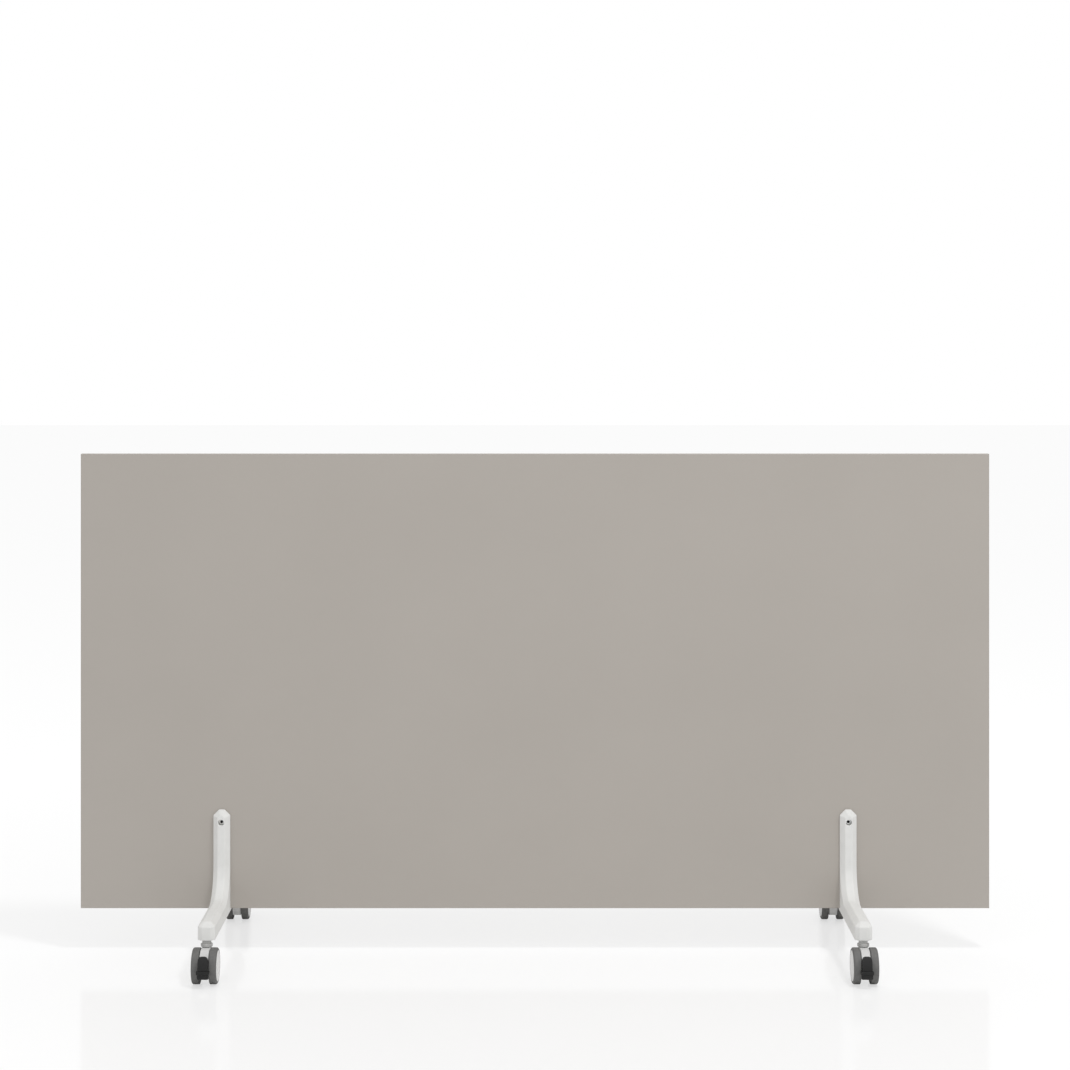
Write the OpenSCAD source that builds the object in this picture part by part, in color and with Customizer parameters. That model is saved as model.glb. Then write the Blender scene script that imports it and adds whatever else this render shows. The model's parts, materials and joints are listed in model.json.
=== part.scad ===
// Rolling partition: a laminated board held upright by two cast feet on twin-wheel casters.
// Origin: on the floor under the middle of the board. X runs along the board, Z is up, -Y is the front.

/* [Board] */
// Length of the board
board_w = 2000; // [1000:10:2400]
// Height of the board
board_h = 1000; // [600:10:1400]
// Thickness of the board over both laminates
board_t = 25; // [19:1:38]
// Thickness of one laminate sheet
laminate_t = 0.8; // [0.5:0.1:1.5]
// Thickness of the edge bands
band_t = 2; // [1:0.5:3]
// Bevel along the long corners of the edge bands
band_bevel = 0.8; // [0.2:0.1:0.9]

/* [Legs] */
// Distance from the end of the board to the middle of a leg
leg_inset = 311; // [150:1:400]
// Width of a leg
leg_w = 37; // [32:1:50]
// Height of the horizontal foot
foot_h = 38.5; // [34:0.5:55]
// Metal between the underside of the foot and the board
web_t = 6.5; // [5:0.5:16]
// Height of the upright bars above the bottom edge of the board
bar_rise = 218; // [150:1:320]
// How far an upright bar stands out from the face of the board
bar_t = 15.5; // [14:0.5:20]
// Radius of the sweep from the upright bar into the foot
sweep_r = 67; // [40:1:90]
// Bevel along the outer edges of the leg
edge_bevel = 10.5; // [4:0.5:11]
// Cut across the corners at the top of the upright bars
top_cut = 12.5; // [5:0.5:14]
// Cut across the corners at the ends of the foot
nose_cut = 9; // [5:0.5:11]
// Distance from the middle of the board to a caster stem
stem_reach = 262; // [200:1:320]
// Metal of the foot beyond the caster stem
nose_len = 13; // [13:0.5:26]

/* [Clamp screws] */
// Distance from the top of a bar to its clamp screw
clamp_drop = 26.5; // [24:0.5:60]
// Diameter of the sleeve nut's barrel
sleeve_d = 10; // [9:0.5:12]
// Diameter of both screw heads
head_d = 12.6; // [12.2:0.1:14]
// Thickness of both screw heads
head_t = 3; // [3:0.5:4.5]
// Bevel round the top of both screw heads
head_bevel = 0.4; // [0.3:0.1:1]
// Depth of the recess that holds a head
recess_depth = 12.5; // [8:0.5:12.5]
// Diameter of the clamp screw's shank
screw_d = 6; // [5:0.5:7]
// Length of the clamp screw's shank
screw_len = 20; // [14:1:20]
// Size across the flats of the hexagon sockets
socket_af = 6; // [5:0.5:7]
// Distance from the end of the sleeve nut's barrel to the clamp screw's head
sleeve_gap = 0.5; // [0.3:0.1:2]
// Depth of the socket in the sleeve nut
sleeve_socket_depth = 8; // [3:0.5:8]
// Depth of the socket in the clamp screw
screw_socket_depth = 2.2; // [1.5:0.1:2.4]
// Room around a screw head or barrel in its hole
screw_play = 0.4; // [0.1:0.1:0.8]

/* [Caster wheels] */
// Diameter of a wheel
wheel_d = 75; // [70:1:100]
// Width of one wheel
wheel_w = 16; // [15:0.2:20]
// Gap between the two wheels of a caster
wheel_gap = 21; // [20.5:0.5:28]
// Thickness of the soft tread
tyre_t = 5.3; // [4.5:0.1:8]
// Rounding of the tread's outer shoulder
outer_shoulder_r = 4.2; // [2:0.1:4.4]
// Rounding of the tread's inner shoulder
inner_shoulder_r = 1.6; // [1:0.1:3]
// Thickness of the wheel's rim
rim_t = 4; // [3:0.5:6]
// Thickness of the wheel's web
web_disc_t = 4; // [3:0.5:6]
// Diameter of the wheel's hub boss
hub_boss_d = 18; // [16:1:24]
// Length of the wheel's hub boss
hub_boss_len = 10; // [8:0.5:11]
// Thickness of the wheel cover
cover_t = 2.2; // [1.6:0.1:3]
// Width of the cover's raised outer ring
cover_ring_w = 5; // [3:0.5:8]
// Depth of the dish inside that ring
cover_dish = 0.8; // [0.3:0.1:1]
// Diameter of the raised button in the middle of the cover
cover_button_d = 17; // [10:1:26]

/* [Caster body] */
// Distance from the swivel axis back to the axle
trail = 20; // [17:0.5:26]
// Room between the top of the wheels and the underside of the foot
top_room = 12.5; // [11.5:0.5:18]
// Diameter of the axle
axle_d = 8; // [6:0.5:10]
// Diameter of the axle's riveted ends
rivet_d = 11; // [10:0.5:14]
// Thickness of the axle's riveted ends
rivet_t = 1.2; // [0.8:0.1:1.6]
// Width of the yoke between the wheels
yoke_w = 19; // [16.5:0.5:19]
// How much smaller the yoke's round outline is than a wheel
yoke_inset = 2; // [1:0.5:4]
// Height of the yoke's flat underside above the floor
yoke_floor = 15; // [12:0.5:20]
// Distance from the swivel axis to the yoke's upright back
neck_back = 9; // [8.5:0.5:12]
// Rounding at the top of the yoke's back
neck_r = 4; // [2:0.5:6]
// Diameter of the yoke's axle boss
axle_boss_d = 16; // [14:0.5:20]
// Diameter of the caster stem
stem_d = 10; // [8:0.5:10]
// Bevel at both ends of the stem
stem_bevel = 1; // [0.5:0.1:1.5]
// Length of the stem's thread in the foot
thread_len = 26; // [18:1:28]
// Length of the stem below the foot
stem_drop = 49.5; // [44:0.5:52]
// Size of the wire of the grip ring
grip_wire = 1.5; // [1:0.1:1.6]
// Distance from the top of the yoke down to the grip ring
grip_drop = 9; // [6:0.5:14]
// Opening in the grip ring
grip_gap = 2; // [1:0.5:4]
// Diameter of the swivel collar at its foot
collar_d = 25; // [20:0.5:26]
// Diameter of the collar's neck
collar_top_d = 19; // [14:0.5:19]
// Height of the collar
collar_h = 13.5; // [12.5:0.5:13.5]
// Height of the straight part at the collar's foot
collar_rim_h = 5; // [2:0.5:5]
// Height of the collar's neck
collar_neck_h = 6.5; // [1:0.5:6.5]
// Diameter of the thrust washer
washer_d = 17; // [14:0.5:17.5]
// Thickness of the thrust washer
washer_t = 1; // [0.8:0.1:1.6]

/* [Brake pedal] */
// Width of the pedal
pedal_w = 21.4; // [17:0.1:22]
// Width of the pedal's lip
lip_w = 27; // [22:0.5:34]
// Gap between the wheel's tread and the inside of the pedal
pedal_gap = 3; // [2.5:0.5:5]
// Thickness of the pedal's shell
pedal_t = 6.5; // [4:0.5:8]
// How far the lip stands out from the shell
lip_out = 3; // [1:0.5:5]
// Angle of the pedal's top above the axle
pedal_top_angle = 38; // [28:1:38]
// Angle of the pedal's toe below the axle
pedal_toe_angle = 20; // [18:1:25]
// Width of the toe below the lip
toe_w = 24; // [21:0.5:27]
// How far the end of the toe stands out from the shell
toe_out = 4; // [1:0.5:6]
// Angle of the lip below the axle
lip_angle = 4.5; // [2:0.5:8]
// Height of the lip
lip_h = 7; // [3:0.5:8]
// Rounding of the pedal's top corners
pedal_corner_r = 7.5; // [3:0.5:8]
// Width of the pedal's arm
arm_w = 12; // [9:0.5:12.5]
// Height of the pedal's arm
arm_h = 9; // [7:0.5:10]
// Height of the slot in the yoke, which lets the arm swing
slot_h = 36; // [34:1:38]
// Diameter of the pedal pin
pin_d = 4; // [3:0.5:5]
// Metal of the pedal's arm around the pin
pin_wall = 3; // [2:0.5:3.5]
// Distance of the pedal pin in front of the axle
pin_ahead = 18; // [16.5:0.5:19]
// Height of the pedal pin above the axle
pin_above = 4.5; // [3:0.5:6]

/* [Fits] */
// Clearance around a turning shaft
run_play = 0.05; // [0.02:0.01:0.1]
// Clearance around a fixed shaft or insert
seat_play = 0.02; // [0.01:0.01:0.05]
// Gap between faces that move past each other
part_gap = 0.3; // [0.3:0.05:0.6]
// Gap between the board and each side of the leg's slot
slot_play = 0.1; // [0:0.05:0.3]
// Gap left for the bond between tread, hub and cover
bond_gap = 0.15; // [0.1:0.05:0.3]
// Room between the grip ring and the yoke's groove
grip_room = 0.2; // [0.1:0.05:0.4]
// How much deeper a blind hole goes than the shank in it
blind_room = 2; // [1:0.5:2.5]

/* [Hidden] */
$fn = 96;
over = 1; // how far a cut reaches past the face that it opens

// Levels above the floor
wheel_r = wheel_d / 2;
foot_z = wheel_d + top_room;
foot_top = foot_z + foot_h;
board_z = foot_z + web_t;
board_top = board_z + board_h;
bar_top = board_z + bar_rise;
clamp_z = bar_top - clamp_drop;

// Board and legs
board_face = board_t / 2;
core_face = board_face - laminate_t;
board_end = board_w / 2;
inner_end = board_end - band_t;
leg_x = board_end - leg_inset;
bar_face = board_face + bar_t;
sweep_y = bar_face + sweep_r;
sweep_z = foot_top + sweep_r;
bar_len = bar_top - sweep_z;
nose_y = stem_reach + nose_len;
half_leg = leg_w / 2;
top_cut_reach = (leg_w - top_cut) / sqrt(2);
nose_cut_reach = (leg_w - nose_cut) / sqrt(2);

// Clamp screws
seat_y = bar_face - recess_depth;
sleeve_end = seat_y - sleeve_gap;
sleeve_hole_d = sleeve_d + screw_play;
socket_d = socket_af / cos(30);
sleeve_bore_len = screw_len + blind_room;

// Casters
gap_x = wheel_gap / 2;
hub_r = wheel_r - tyre_t;
cover_r = hub_r - bond_gap;
tread_r = hub_r + bond_gap;
tread_t = wheel_r - tread_r;
yoke_r = wheel_r - yoke_inset;
collar_z = foot_z - collar_h;
collar_cone_h = collar_h - collar_rim_h - collar_neck_h;
washer_z = collar_z - washer_t;
yoke_top = washer_z - part_gap;
stem_end = foot_z - stem_drop;
stem_bore_end = stem_end - blind_room;
grip_z = yoke_top - grip_drop;
grip_r = stem_d / 2 - grip_wire / 2;
rivet_x = gap_x + hub_boss_len + part_gap;

// Pedal
pedal_in = wheel_r + pedal_gap;
pedal_out = pedal_in + pedal_t;
lip_face = pedal_out + lip_out;
pin_y = -trail - pin_ahead;
pin_z = wheel_r + pin_above;
pin_boss_r = pin_d / 2 + pin_wall;
slot_w = arm_w + 2 * part_gap;
slot_back = pin_y + pin_boss_r + part_gap;
slot_low = pin_z - slot_h / 2;

// Colours
board_colour = [0.68, 0.66, 0.63];
core_colour = [0.76, 0.63, 0.46];
leg_colour = [0.84, 0.84, 0.83];
steel_colour = [0.72, 0.72, 0.73];
collar_colour = [0.60, 0.60, 0.59];
tyre_colour = [0.40, 0.40, 0.39];
hub_colour = [0.30, 0.30, 0.30];
cover_colour = [0.83, 0.83, 0.82];
pedal_colour = [0.18, 0.18, 0.18];
washer_colour = [0.92, 0.92, 0.88];

// Each corner is a name, the side along the board and the way it trails: -1 is left or front
CORNERS = [["front_left", -1, -1], ["front_right", 1, -1], ["rear_left", -1, 1], ["rear_right", 1, 1]];
SIDES = [["left", -1], ["right", 1]];
BOARD_NODES = ["panel_core", "front_laminate", "rear_laminate", "top_edge_band", "bottom_edge_band",
    "left_edge_band", "right_edge_band", "left_leg", "right_leg", "sleeve_nuts", "clamp_screws",
    "caster_stems", "grip_rings", "thrust_washers"];
CASTER_PARTS = ["collar", "yoke", "axle", "brake_pedal", "pedal_pin"];
WHEEL_PARTS = ["hub", "tyre", "cover"];

// ---- Board ----

module sheet(low_face, high_face) {
    difference() {
        translate([-inner_end, low_face, board_z + band_t])
            cube([2 * inner_end, high_face - low_face, board_h - 2 * band_t]);
        for (s = SIDES) clamp_hole(s[1]);
    }
}

module clamp_hole(side) {
    translate([side * leg_x, 0, clamp_z])
        rotate([90, 0, 0])
            cylinder(d = sleeve_hole_d, h = board_t + 2 * over, center = true);
}

module panel_core() {
    color(core_colour) sheet(-core_face, core_face);
}

module front_laminate() {
    color(board_colour) sheet(-board_face, -core_face);
}

module rear_laminate() {
    color(board_colour) sheet(core_face, board_face);
}

// A band with its inner face on z = 0, lying along X
module edge_band(len) {
    color(board_colour)
        rotate([90, 0, 90])
            linear_extrude(len, center = true)
                polygon([
                    [-board_face, 0], [board_face, 0],
                    [board_face, band_t - band_bevel], [board_face - band_bevel, band_t],
                    [band_bevel - board_face, band_t], [-board_face, band_t - band_bevel]
                ]);
}

module top_edge_band() {
    translate([0, 0, board_top - band_t]) edge_band(2 * inner_end);
}

module bottom_edge_band() {
    translate([0, 0, board_z + band_t]) mirror([0, 0, 1]) edge_band(2 * inner_end);
}

module end_edge_band(side) {
    translate([side * inner_end, 0, board_z + board_h / 2])
        rotate([0, side * 90, 0])
            edge_band(board_h);
}

// ---- Legs ----

// A long three-sided cutter: its bevel crosses the corner at y = 0, z = 0, and it lies along X
module bevel_cutter(len) {
    rotate([90, 0, 90])
        linear_extrude(len, center = true)
            polygon([[-over, over], [edge_bevel + over, over], [-over, -edge_bevel - over]]);
}

// The turned cutter that leaves the sweep between bar and foot, with its bevels
module sweep_cutter() {
    flat = half_leg - edge_bevel;
    reach = edge_bevel + over;
    rotate([0, 90, 0]) {
        cylinder(r = sweep_r, h = leg_w + 2 * over, center = true);
        for (s = [-1, 1])
            translate([0, 0, s * flat])
                mirror([0, 0, s < 0 ? 1 : 0])
                    cylinder(r1 = sweep_r, r2 = sweep_r + reach, h = reach);
    }
}

// Everything cut from the front half of a leg; the rear half mirrors it
module front_leg_cuts() {
    // sweep
    translate([0, -sweep_y, sweep_z]) sweep_cutter();
    // bevels up the bar and round its top end
    translate([0, -bar_face, bar_top - half_leg]) {
        for (a = [-45, 45])
            rotate([0, a, 0])
                translate([0, 0, top_cut_reach])
                    bevel_cutter(leg_w);
        translate([0, 0, half_leg]) bevel_cutter(leg_w);
    }
    for (s = [-1, 1])
        translate([s * half_leg, -bar_face, sweep_z + bar_len / 2 + over])
            rotate([0, s * 90, 0])
                bevel_cutter(bar_len + 2 * over);
    // bevels along the foot and round its nose
    translate([0, -nose_y, foot_top]) bevel_cutter(leg_w);
    translate([0, half_leg - nose_y, foot_top])
        for (a = [-45, 45])
            rotate([0, 0, a])
                translate([0, -nose_cut_reach, 0])
                    bevel_cutter(leg_w);
    for (s = [-1, 1])
        translate([s * half_leg, -(sweep_y + nose_y) / 2, foot_top])
            rotate([0, 0, s * 90])
                bevel_cutter(nose_y - sweep_y);
    // corners of the nose
    for (s = [-1, 1])
        translate([s * (half_leg - nose_cut / 2), -nose_y + nose_cut / 2, foot_z + foot_h / 2])
            rotate([0, 0, s * 45])
                translate([0, -leg_w / 2, 0])
                    cube([leg_w, leg_w, foot_h + 2 * over], center = true);
    // recess for a screw head
    translate([0, -seat_y, clamp_z])
        rotate([90, 0, 0])
            cylinder(d = head_d + 2 * screw_play, h = recess_depth + over);
    // threaded hole for the caster stem
    translate([0, -stem_reach, foot_z - over])
        cylinder(d = stem_d + 2 * seat_play, h = thread_len + blind_room + over);
}

module leg(side) {
    color(leg_colour)
        translate([side * leg_x, 0, 0])
            difference() {
                union() {
                    translate([-half_leg, -bar_face, foot_z])
                        cube([leg_w, 2 * bar_face, bar_top - foot_z]);
                    translate([-half_leg, -nose_y, foot_z])
                        cube([leg_w, 2 * nose_y, foot_h]);
                    translate([-half_leg, -sweep_y, foot_z])
                        cube([leg_w, 2 * sweep_y, foot_h + sweep_r]);
                }
                front_leg_cuts();
                mirror([0, 1, 0]) front_leg_cuts();
                // slot for the board
                translate([-half_leg - over, -board_face - slot_play, board_z])
                    cube([leg_w + 2 * over, board_t + 2 * slot_play, bar_rise + over]);
                // corners of both bars' top ends
                for (s = [-1, 1])
                    translate([s * (half_leg - top_cut / 2), 0, bar_top - top_cut / 2])
                        rotate([0, s * 45, 0])
                            translate([0, 0, leg_w / 2])
                                cube([leg_w, 2 * bar_face + 2 * over, leg_w], center = true);
                // clearance hole for the sleeve nut
                translate([0, 0, clamp_z])
                    rotate([90, 0, 0])
                        cylinder(d = sleeve_hole_d, h = 2 * bar_face, center = true);
            }
}

// ---- Clamp screws ----

// A head that stands on z = 0 with a hexagon socket in its top
module screw_head(socket_depth) {
    difference() {
        union() {
            cylinder(d = head_d, h = head_t - head_bevel);
            translate([0, 0, head_t - head_bevel])
                cylinder(d1 = head_d, d2 = head_d - 2 * head_bevel, h = head_bevel);
        }
        translate([0, 0, head_t - socket_depth]) cylinder(d = socket_d, h = socket_depth + over, $fn = 6);
    }
}

module sleeve_nuts() {
    barrel_len = seat_y + sleeve_end;
    color(steel_colour)
        for (s = SIDES)
            translate([s[1] * leg_x, -seat_y, clamp_z])
                rotate([90, 0, 0])
                    difference() {
                        union() {
                            screw_head(head_t);
                            translate([0, 0, -barrel_len]) cylinder(d = sleeve_d, h = barrel_len);
                        }
                        translate([0, 0, head_t - sleeve_socket_depth])
                            cylinder(d = socket_d, h = sleeve_socket_depth, $fn = 6);
                        translate([0, 0, -barrel_len - over])
                            cylinder(d = screw_d + 2 * run_play, h = sleeve_bore_len + over);
                    }
}

module clamp_screws() {
    color(steel_colour)
        for (s = SIDES)
            translate([s[1] * leg_x, seat_y, clamp_z])
                rotate([-90, 0, 0]) {
                    screw_head(screw_socket_depth);
                    translate([0, 0, -screw_len]) cylinder(d = screw_d, h = screw_len);
                }
}

// ---- Casters, each drawn on its swivel axis at the origin and trailing towards -Y ----

module at_corner(corner) {
    translate([corner[1] * leg_x, corner[2] * stem_reach, 0])
        rotate([0, 0, corner[2] > 0 ? 180 : 0])
            children();
}

module caster_stem() {
    tip_d = stem_d - 2 * stem_bevel;
    color(steel_colour)
        difference() {
            union() {
                translate([0, 0, stem_end + stem_bevel])
                    cylinder(d = stem_d, h = stem_drop + thread_len - 2 * stem_bevel);
                translate([0, 0, stem_end]) cylinder(d1 = tip_d, d2 = stem_d, h = stem_bevel);
                translate([0, 0, foot_z + thread_len - stem_bevel])
                    cylinder(d1 = stem_d, d2 = tip_d, h = stem_bevel);
            }
            ring(grip_r - run_play, stem_d, grip_z - grip_wire / 2 - run_play, grip_wire + 2 * run_play);
        }
}

// A plain ring between two radii
module ring(inner_r, outer_r, low, height) {
    translate([0, 0, low])
        difference() {
            cylinder(r = outer_r, h = height);
            translate([0, 0, -over]) cylinder(r = inner_r, h = height + 2 * over);
        }
}

module grip_ring() {
    color(steel_colour)
        difference() {
            ring(grip_r, grip_r + grip_wire, grip_z - grip_wire / 2, grip_wire);
            translate([stem_d, 0, grip_z]) cube([2 * stem_d, grip_gap, 2 * grip_wire], center = true);
        }
}

module thrust_washer() {
    color(washer_colour) ring(stem_d / 2 + run_play, washer_d / 2, washer_z, washer_t);
}

module collar() {
    color(collar_colour)
        difference() {
            translate([0, 0, collar_z]) {
                cylinder(d = collar_d, h = collar_rim_h);
                translate([0, 0, collar_rim_h])
                    cylinder(d1 = collar_d, d2 = collar_top_d, h = collar_cone_h);
                translate([0, 0, collar_h - collar_neck_h]) cylinder(d = collar_top_d, h = collar_neck_h);
            }
            translate([0, 0, collar_z - over])
                cylinder(d = stem_d + 2 * seat_play, h = collar_h + 2 * over);
        }
}

// The yoke's side view, with the swivel axis on x = 0 and the floor on y = 0
module yoke_outline() {
    intersection() {
        union() {
            translate([-trail, wheel_r]) circle(r = yoke_r);
            translate([-trail, wheel_r]) square([trail + neck_back, yoke_top - neck_r - wheel_r]);
            translate([-trail, wheel_r]) square([trail + neck_back - neck_r, yoke_top - wheel_r]);
            translate([neck_back - neck_r, yoke_top - neck_r]) circle(r = neck_r);
        }
        translate([-trail - wheel_r, yoke_floor]) square([2 * wheel_d, yoke_top - yoke_floor]);
    }
}

module yoke() {
    color(leg_colour)
        difference() {
            union() {
                along_x(yoke_w) yoke_outline();
                at_axle() cylinder(d = axle_boss_d, h = wheel_gap - 2 * part_gap, center = true);
            }
            at_axle() cylinder(d = axle_d + 2 * seat_play, h = wheel_gap + over, center = true);
            at_pin() cylinder(d = pin_d + 2 * seat_play, h = yoke_w + 2 * over, center = true);
            translate([0, 0, stem_bore_end])
                cylinder(d = stem_d + 2 * run_play, h = yoke_top - stem_bore_end + over);
            ring(stem_d / 2, grip_r + grip_wire + grip_room, grip_z - grip_wire / 2 - grip_room,
                grip_wire + 2 * grip_room);
            // slot for the pedal's arm
            translate([-slot_w / 2, slot_back - wheel_d, slot_low])
                cube([slot_w, wheel_d, slot_h]);
        }
}

// Extrudes a side view, drawn as Y and Z, evenly about x = 0
module along_x(width) {
    rotate([90, 0, 90]) linear_extrude(width, center = true) children();
}

module at_axle() {
    translate([0, -trail, wheel_r]) rotate([0, 90, 0]) children();
}

module at_pin() {
    translate([0, pin_y, pin_z]) rotate([0, 90, 0]) children();
}

module axle() {
    color(steel_colour)
        at_axle() {
            cylinder(d = axle_d, h = 2 * (rivet_x + rivet_t / 2), center = true);
            for (s = [-1, 1])
                translate([0, 0, s * (rivet_x + rivet_t / 2)])
                    cylinder(d = rivet_d, h = rivet_t, center = true);
        }
}

// Places a wheel piece drawn on +Z from its inner face, on the left or right of the board's view
module on_wheel(corner, side) {
    local_side = -side * corner[2];
    at_corner(corner)
        translate([local_side * gap_x, -trail, wheel_r])
            rotate([0, local_side * 90, 0])
                children();
}

// One wheel's tread, with its outer shoulder away from z = 0
module tyre() {
    color(tyre_colour)
        rotate_extrude()
            intersection() {
                translate([tread_r, 0]) square([tread_t, wheel_w]);
                union() {
                    square([wheel_r - outer_shoulder_r, wheel_w]);
                    square([wheel_r - inner_shoulder_r, wheel_w - outer_shoulder_r]);
                    translate([0, inner_shoulder_r])
                        square([wheel_r, wheel_w - inner_shoulder_r - outer_shoulder_r]);
                    translate([wheel_r - inner_shoulder_r, inner_shoulder_r]) circle(r = inner_shoulder_r);
                    translate([wheel_r - outer_shoulder_r, wheel_w - outer_shoulder_r])
                        circle(r = outer_shoulder_r);
                }
            }
}

module hub() {
    rim_len = wheel_w - cover_t;
    bore_r = axle_d / 2 + run_play;
    color(hub_colour)
        rotate_extrude()
            polygon([
                [bore_r, 0], [hub_r, 0], [hub_r, rim_len], [hub_r - rim_t, rim_len],
                [hub_r - rim_t, web_disc_t], [hub_boss_d / 2, web_disc_t],
                [hub_boss_d / 2, hub_boss_len], [bore_r, hub_boss_len]
            ]);
}

module cover() {
    low = wheel_w - cover_t;
    dish = wheel_w - cover_dish;
    ring_r = cover_r - cover_ring_w;
    button_r = cover_button_d / 2;
    color(cover_colour)
        rotate_extrude()
            polygon([
                [0, low], [cover_r, low], [cover_r, wheel_w - cover_dish],
                [cover_r - cover_dish, wheel_w], [ring_r, wheel_w],
                [ring_r - 2 * cover_dish, dish], [button_r + cover_dish, dish],
                [button_r, wheel_w], [0, wheel_w]
            ]);
}

// ---- Brake pedal ----

// A slice of a ring about the axle, between two angles in front of it
module shell_slice(inner_r, outer_r, low_angle, high_angle) {
    far = 2 * outer_r;
    translate([-trail, wheel_r])
        intersection() {
            difference() {
                circle(r = outer_r);
                circle(r = inner_r);
            }
            polygon([[0, 0], [-far * cos(high_angle), far * sin(high_angle)],
                [-far, 0], [-far * cos(low_angle), far * sin(low_angle)]]);
        }
}

// The toe's side view: it starts in the lip and stands out further towards its end
module toe_outline() {
    polygon([
        below_axle(pedal_in, lip_angle), below_axle(pedal_out, lip_angle),
        below_axle(pedal_out + toe_out, pedal_toe_angle), below_axle(pedal_in, pedal_toe_angle)
    ]);
}

function below_axle(radius, angle) = [-trail - radius * cos(angle), wheel_r - radius * sin(angle)];

module brake_pedal() {
    half_lip = lip_h / 2 / lip_face * 180 / PI;
    arm_reach = pin_y + trail + pedal_in + pedal_t / 2;
    shell_top = wheel_r + pedal_out * sin(pedal_top_angle);
    color(pedal_colour)
        difference() {
            union() {
                intersection() {
                    along_x(pedal_w) shell_slice(pedal_in, pedal_out, -pedal_toe_angle, pedal_top_angle);
                    pedal_front(shell_top);
                }
                along_x(lip_w) shell_slice(pedal_in, lip_face, -lip_angle - half_lip, half_lip - lip_angle);
                along_x(toe_w) toe_outline();
                translate([-arm_w / 2, pin_y - arm_reach, pin_z - arm_h / 2]) cube([arm_w, arm_reach, arm_h]);
                at_pin() cylinder(r = pin_boss_r, h = arm_w, center = true);
            }
            at_pin() cylinder(d = pin_d + 2 * run_play, h = arm_w + 2 * over, center = true);
        }
}

// The pedal's front view, with rounded top corners, reaching through the whole pedal
module pedal_front(top) {
    straight = pedal_w / 2 - pedal_corner_r;
    rotate([90, 0, 0])
        linear_extrude(trail + wheel_d) {
            translate([-pedal_w / 2, 0]) square([pedal_w, top - pedal_corner_r]);
            translate([-straight, 0]) square([2 * straight, top]);
            for (s = [-1, 1])
                translate([s * straight, top - pedal_corner_r]) circle(r = pedal_corner_r);
        }
}

module pedal_pin() {
    color(steel_colour) at_pin() cylinder(d = pin_d, h = yoke_w, center = true);
}

// ---- Nodes ----

panel_core();
front_laminate();
rear_laminate();
top_edge_band();
bottom_edge_band();
end_edge_band(-1);  // left_edge_band
end_edge_band(1);  // right_edge_band
leg(-1);  // left_leg
leg(1);  // right_leg
sleeve_nuts();
clamp_screws();
for (c = CORNERS) {
    at_corner(c) caster_stem();  // caster_stems
    at_corner(c) grip_ring();  // grip_rings
    at_corner(c) thrust_washer();  // thrust_washers
    at_corner(c) collar();
    at_corner(c) yoke();
    at_corner(c) axle();
    at_corner(c) brake_pedal();
    at_corner(c) pedal_pin();
    for (s = SIDES) {
        on_wheel(c, s[1]) hub();
        on_wheel(c, s[1]) tyre();
        on_wheel(c, s[1]) cover();
    }
}
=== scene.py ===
import json
from math import acos, asin, cos, pi, radians, sin

import bmesh
import bpy
from mathutils import Matrix, Vector


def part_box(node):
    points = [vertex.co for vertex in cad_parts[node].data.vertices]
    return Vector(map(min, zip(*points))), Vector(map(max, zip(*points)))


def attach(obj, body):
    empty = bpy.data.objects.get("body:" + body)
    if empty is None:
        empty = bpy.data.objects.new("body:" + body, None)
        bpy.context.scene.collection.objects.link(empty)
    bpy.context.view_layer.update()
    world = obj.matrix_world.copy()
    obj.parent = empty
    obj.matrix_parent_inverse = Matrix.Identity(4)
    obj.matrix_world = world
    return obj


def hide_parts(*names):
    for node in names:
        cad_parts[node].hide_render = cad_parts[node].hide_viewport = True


# Rolling partition. Everything is in metres; the board stands along X and its front looks to -Y.
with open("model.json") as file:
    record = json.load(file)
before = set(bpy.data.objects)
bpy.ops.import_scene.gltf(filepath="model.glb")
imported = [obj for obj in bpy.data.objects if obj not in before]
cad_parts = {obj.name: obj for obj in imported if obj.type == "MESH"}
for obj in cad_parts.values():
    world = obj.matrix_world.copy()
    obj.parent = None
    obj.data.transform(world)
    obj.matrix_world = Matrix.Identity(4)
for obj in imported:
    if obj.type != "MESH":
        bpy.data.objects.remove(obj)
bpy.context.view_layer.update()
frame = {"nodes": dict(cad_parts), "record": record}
scene = bpy.context.scene
print("frame loaded:", len(frame["nodes"]), "nodes")

ends = ("front", "rear")
sides = ("left", "right")
corners = [end + "_" + side for end in ends for side in sides]
tiny = 0.0001  # how close a point has to be to count as lying on a plane
weldDistance = 0.000001
alongX = Vector((1, 0, 0))
alongY = Vector((0, 1, 0))
alongZ = Vector((0, 0, 1))


# shader helpers

def shade(red, green, blue):
    # a colour as a screen shows it, 0 to 255, turned into the linear values that a shader takes
    linear = []
    for level in (red, green, blue):
        part = level / 255
        linear.append(part / 12.92 if part <= 0.04045 else ((part + 0.055) / 1.055) ** 2.4)
    return (*linear, 1)


class Signal:
    # one output socket, so that shader maths reads as plain sums
    def __init__(self, shader, socket):
        self.shader = shader
        self.socket = socket

    def combine(self, operation, first, second):
        return self.shader.node("ShaderNodeMath", {"operation": operation}, {0: first, 1: second})

    def __add__(self, other):
        return self.combine("ADD", self, other)

    def __radd__(self, other):
        return self.combine("ADD", other, self)

    def __sub__(self, other):
        return self.combine("SUBTRACT", self, other)

    def __rsub__(self, other):
        return self.combine("SUBTRACT", other, self)

    def __mul__(self, other):
        return self.combine("MULTIPLY", self, other)

    def __rmul__(self, other):
        return self.combine("MULTIPLY", other, self)


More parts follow.
